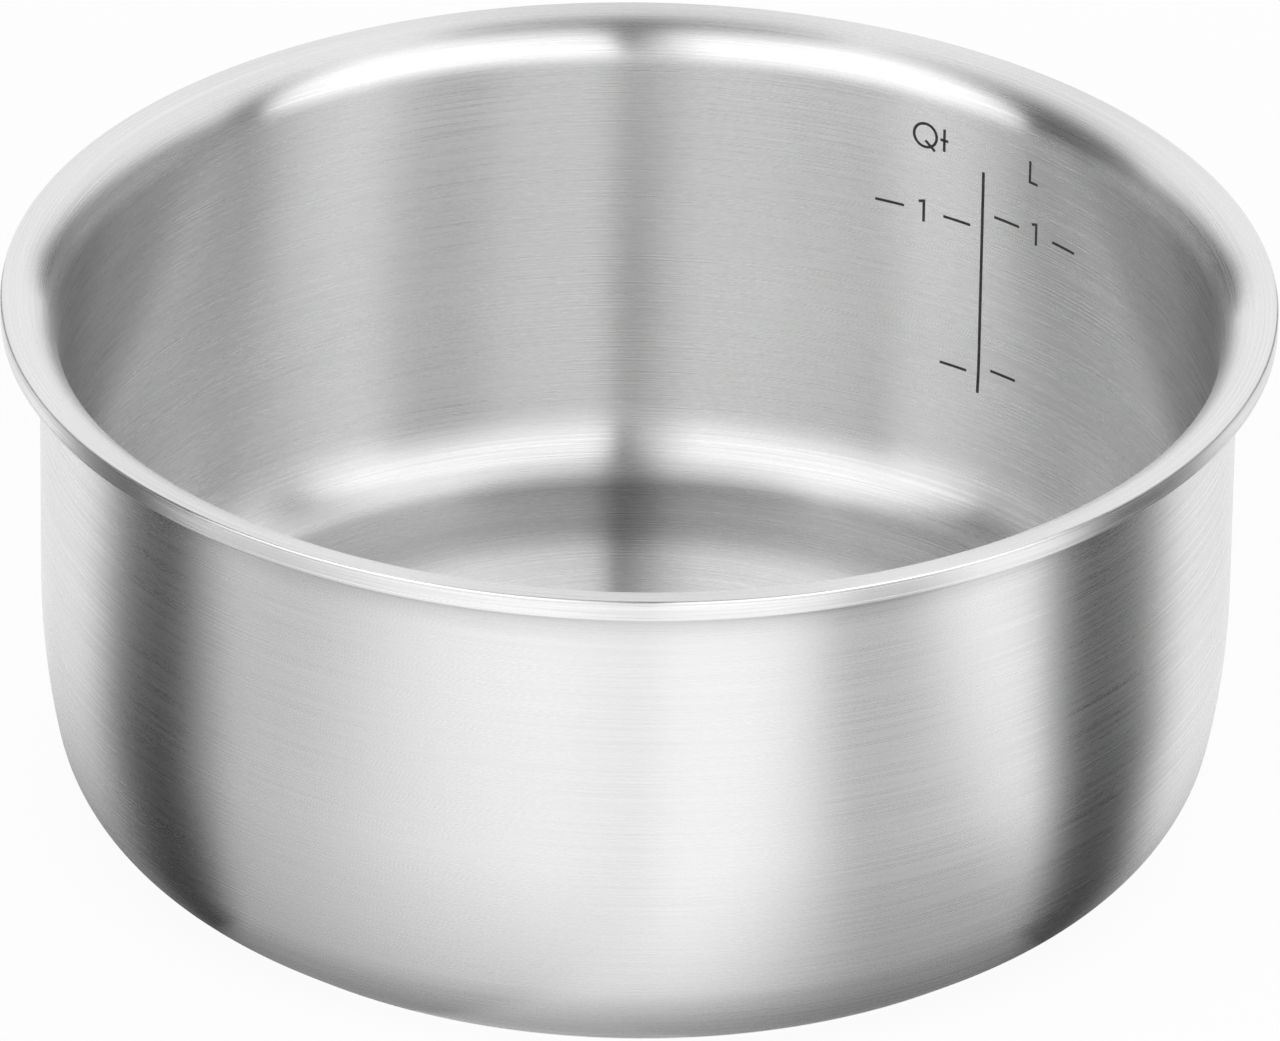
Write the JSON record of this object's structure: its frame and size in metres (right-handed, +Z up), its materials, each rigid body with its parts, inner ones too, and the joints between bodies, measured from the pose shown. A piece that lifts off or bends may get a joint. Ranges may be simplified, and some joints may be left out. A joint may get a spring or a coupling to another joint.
{
  "type": "rice cooker inner pot",
  "caption": "Round clad steel cooking pot: two steel skins on an aluminium core that is thick under the floor, a flat flared rim with a cut edge and an etched litre and quart scale inside.",
  "frame": {"origin": "centre of the foot, on the surface that the pot stands on", "axes": "+Z up along the pot's axis; the volume scale lies on the inner wall between +X and +Y"},
  "size_m": [0.176, 0.176, 0.0782],
  "materials": {
    "inner_steel": "brushed round the axis",
    "core_aluminium": "ground along the cut edge",
    "outer_steel": "brushed round the axis, turned underneath",
    "scale_fill": "dark matt etch fill"
  },
  "bodies": {
    "root": {"inner_skin": "inner_steel", "aluminium_core": "core_aluminium", "outer_skin": "outer_steel", "scale_line": "scale_fill", "litre_marks": "scale_fill", "quart_marks": "scale_fill"}
  },
  "joints": []
}
